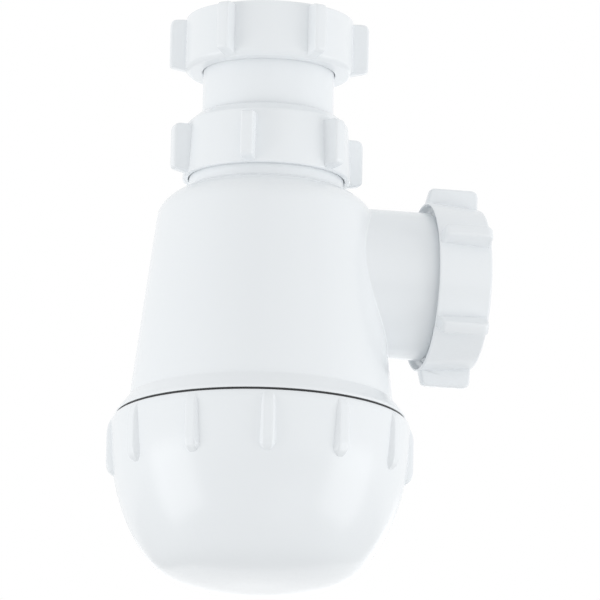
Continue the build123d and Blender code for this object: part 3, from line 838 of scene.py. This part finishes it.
@dataclass
class Studio:
    """A pale floor far below the trap, soft boxes all round and the photograph's camera."""

    azimuth: float = -12.0
    elevation: float = -13.3
    roll: float = 1.3
    distance: float = 3.125
    lens: float = 600.0
    aim_mm: tuple[float, float, float] = (0.0, 0.0, 53.95)
    aim_pixel: tuple[float, float] = (260.6, 419.5)
    pixels_per_mm: float = 3.2
    frame_pixels: int = 600
    sensor: float = 36.0
    clip_end: float = 40.0
    floor_z: float = -30.0
    floor_reach: float = 250.0
    floor_sides: int = 64
    floor_rings: int = 8
    floor_colour: tuple[float, float, float] = (0.8, 0.8, 0.8)
    floor_roughness: float = 0.9
    light_colour: tuple[float, float, float] = (0.985, 0.995, 1.0)
    light_strength: float = 0.78
    softboxes: tuple[Softbox, ...] = (
        Softbox("left_softbox", (-1.5, -0.1, -0.4), 1.1, 6.8),
        Softbox("right_softbox", (1.4, -0.6, -0.4), 1.1, 6.2),
        Softbox("low_softbox", (0.42, 1.22, -0.4), 1.2, 2.7),
        Softbox("front_softbox", (0.3, -1.45, 0.5), 1.2, 1.2),
        Softbox("knee_softbox", (0.35, -1.1, -0.9), 0.8, 0.7),
    )

    def camera(self) -> None:
        """Point the camera so that the seal's centre falls on its pixel, from below and with a little roll."""
        az, el, roll = (math.radians(v) for v in (self.azimuth, self.elevation, self.roll))
        ahead = Vector((-math.sin(az) * math.cos(el), math.cos(az) * math.cos(el), -math.sin(el)))
        level = ahead.cross(Vector((0, 0, 1))).normalized()
        upright = level.cross(ahead)
        right = level * math.cos(roll) + upright * math.sin(roll)
        up = upright * math.cos(roll) - level * math.sin(roll)
        middle = self.frame_pixels / 2
        shift_x = (middle - self.aim_pixel[0]) / self.pixels_per_mm * MM
        shift_y = (self.aim_pixel[1] - middle) / self.pixels_per_mm * MM
        centre = Vector(self.aim_mm) * MM + right * shift_x + up * shift_y
        data = bpy.data.cameras.new("photo_camera")
        data.lens, data.sensor_width, data.clip_end = self.lens, self.sensor, self.clip_end
        camera = bpy.data.objects.new("photo_camera", data)
        turn = Matrix((right, up, -ahead)).transposed().to_4x4()
        camera.matrix_world = Matrix.Translation(centre - ahead * self.distance) @ turn
        bpy.context.scene.collection.objects.link(camera)
        bpy.context.scene.camera = camera

    def floor(self) -> None:
        """Lay a wide pale floor, far enough below to stay out of a picture taken from below."""
        shell = Shell("floor")
        reach = np.linspace(0, self.floor_reach / MM, self.floor_rings)
        depth = np.full_like(reach, self.floor_z / MM)
        shell.add(turned(Line.INLET, np.stack([reach, depth], axis=-1), full_turn(self.floor_sides)))
        floor = shell.build()
        material = bpy.data.materials.new("pale_floor")
        material.use_nodes = True
        shader = material.node_tree.nodes["Principled BSDF"]
        shader.inputs["Base Color"].default_value = (*self.floor_colour, 1)
        shader.inputs["Roughness"].default_value = self.floor_roughness
        floor.data.materials.append(material)

    def world(self) -> None:
        """White to the camera, in reflections and through clear pieces; a little dimmer as light."""
        world = bpy.data.worlds.new("studio")
        bpy.context.scene.world = world
        world.use_nodes = True
        nodes, links = world.node_tree.nodes, world.node_tree.links
        nodes.clear()
        path = nodes.new("ShaderNodeLightPath")
        glossy, either = nodes.new("ShaderNodeMath"), nodes.new("ShaderNodeMath")
        glossy.operation = either.operation = "MAXIMUM"
        links.new(path.outputs["Is Glossy Ray"], glossy.inputs[0])
        links.new(path.outputs["Is Transmission Ray"], glossy.inputs[1])
        links.new(path.outputs["Is Camera Ray"], either.inputs[0])
        links.new(glossy.outputs[0], either.inputs[1])
        seen, lit = nodes.new("ShaderNodeBackground"), nodes.new("ShaderNodeBackground")
        seen.inputs["Strength"].default_value = 1.0
        seen.inputs["Color"].default_value = (1, 1, 1, 1)
        lit.inputs["Strength"].default_value = self.light_strength
        lit.inputs["Color"].default_value = (*self.light_colour, 1)
        mix, out = nodes.new("ShaderNodeMixShader"), nodes.new("ShaderNodeOutputWorld")
        links.new(either.outputs[0], mix.inputs["Fac"])
        links.new(lit.outputs[0], mix.inputs[1])
        links.new(seen.outputs[0], mix.inputs[2])
        links.new(mix.outputs[0], out.inputs["Surface"])

    def build(self) -> None:
        """Set the floor, lights, world and camera."""
        self.floor()
        self.world()
        for softbox in self.softboxes:
            softbox.hang()
        self.camera()
        bpy.context.scene.view_settings.view_transform = "Standard"


NUTS = (
    Nut("inlet_nut", "inlet_nut", Line.INLET,
        [(20.8, 165.45), (21.1, 165.15), (25.2, 165.15), (26.5, 166.45), (26.35, 182.35), (26.05, 182.65),
         (24.7, 182.65), (24.1, 182.05), (24.1, 174.05), (22.6, 173.05), (22.6, 167.95), (20.8, 167.95)],
        [(24.3, 165.45), (25.2, 165.45), (31.3, 166.55), (31.3, 180.25), (30.77, 181.52), (29.5, 182.05),
         (24.3, 182.05)],
        -10.5,
        Thread(24.1, 22.75, NUT_PITCH, 175.25, 181.25, Line.INLET, Side.INSIDE)),
    Nut("neck_nut", "neck_nut", Line.INLET,
        [(24.5, 130.55), (26.1, 130.55), (26.4, 130.85), (25.4, 147.95), (22.2, 150.75), (21.1, 150.75),
         (21.1, 147.3), (22.6, 147.3), (22.6, 145.7), (24.1, 144.5), (24.1, 133.35), (24.5, 132.75)],
        [(25.0, 130.85), (26.4, 130.85), (31.3, 131.95), (31.3, 144.65), (30.77, 145.92), (29.5, 146.45),
         (24.3, 146.45)],
        6.0,
        Thread(24.1, 22.8, NUT_PITCH, 133.95, 143.95, Line.INLET, Side.INSIDE, math.pi)),
    Nut("outlet_nut", "outlet_nut", Line.OUTLET,
        [(26.0, 50.6), (26.4, 50.6), (26.7, 50.9), (25.3, 67.3), (24.8, 67.8), (21.0, 67.8), (21.0, 64.85),
         (22.6, 64.85), (22.6, 63.25), (24.1, 62.05), (24.1, 53.4), (25.5, 52.8)],
        [(25.6, 50.9), (26.7, 50.9), (31.3, 52.0), (31.3, 65.4), (30.77, 66.67), (29.5, 67.2), (24.3, 67.2)],
        23.5,
        Thread(24.1, 22.8, NUT_PITCH, 54.0, 61.5, Line.OUTLET, Side.INSIDE, math.pi)),
)
RUBBERS = (
    Washer("inlet_washer", "tube", Line.INLET,
           [(19.2, 170.65), (22.2, 170.65), (22.2, 173.65), (19.2, 173.65)], "black_rubber"),
    Washer("neck_seal", "body", Line.INLET,
           [(20.65, 141.4), (20.95, 141.4), (21.7, 144.0), (22.4, 144.0), (22.4, 145.8), (20.65, 145.8)],
           "black_rubber", 0.1),
    Washer("outlet_seal", "body", Line.OUTLET,
           [(20.3, 58.95), (20.8, 58.95), (21.7, 61.55), (22.4, 61.55), (22.4, 63.35), (20.3, 63.35)],
           "black_rubber", 0.1),
    Washer("cup_seal", "cup_seal", Line.INLET,
           [(44.0, 53.55), (45.3, 53.55), (45.3, 54.1), (44.0, 54.1)], "black_rubber", 0.15),
)
SLIP_RINGS = (
    Washer("neck_ring", "neck_ring", Line.INLET,
           [(20.9, 145.85), (22.3, 145.85), (22.3, 147.25), (20.9, 147.25)], "ring_plastic"),
    Washer("outlet_ring", "outlet_ring", Line.OUTLET,
           [(20.6, 63.4), (22.3, 63.4), (22.3, 64.8), (20.6, 64.8)], "ring_plastic"),
)


def main() -> None:
    """Build every piece of the trap in order, then the studio."""
    logging.basicConfig(level=logging.INFO, format="%(name)s %(message)s")
    finishes = Finishes(
        Plastic("white_moulded", (0.91, 0.935, 0.955), (0.892, 0.92, 0.942), (0.20, 0.28), 0.05).material(),
        Plastic("natural_moulded", (0.74, 0.74, 0.71), (0.70, 0.70, 0.66), (0.40, 0.50), 0.08).material(),
        Rubber("black_rubber", (0.012, 0.012, 0.013), (0.028, 0.028, 0.03), 0.15).material(),
    )
    BottleBody().build(finishes)
    Cup().build(finishes)
    InletTube().build(finishes)
    for nut in NUTS:
        nut.build(finishes)
    for washer in RUBBERS:
        washer.build(finishes.rubber)
    for ring in SLIP_RINGS:
        ring.build(finishes.natural)
    Studio().build()


if __name__ == "__main__":
    main()
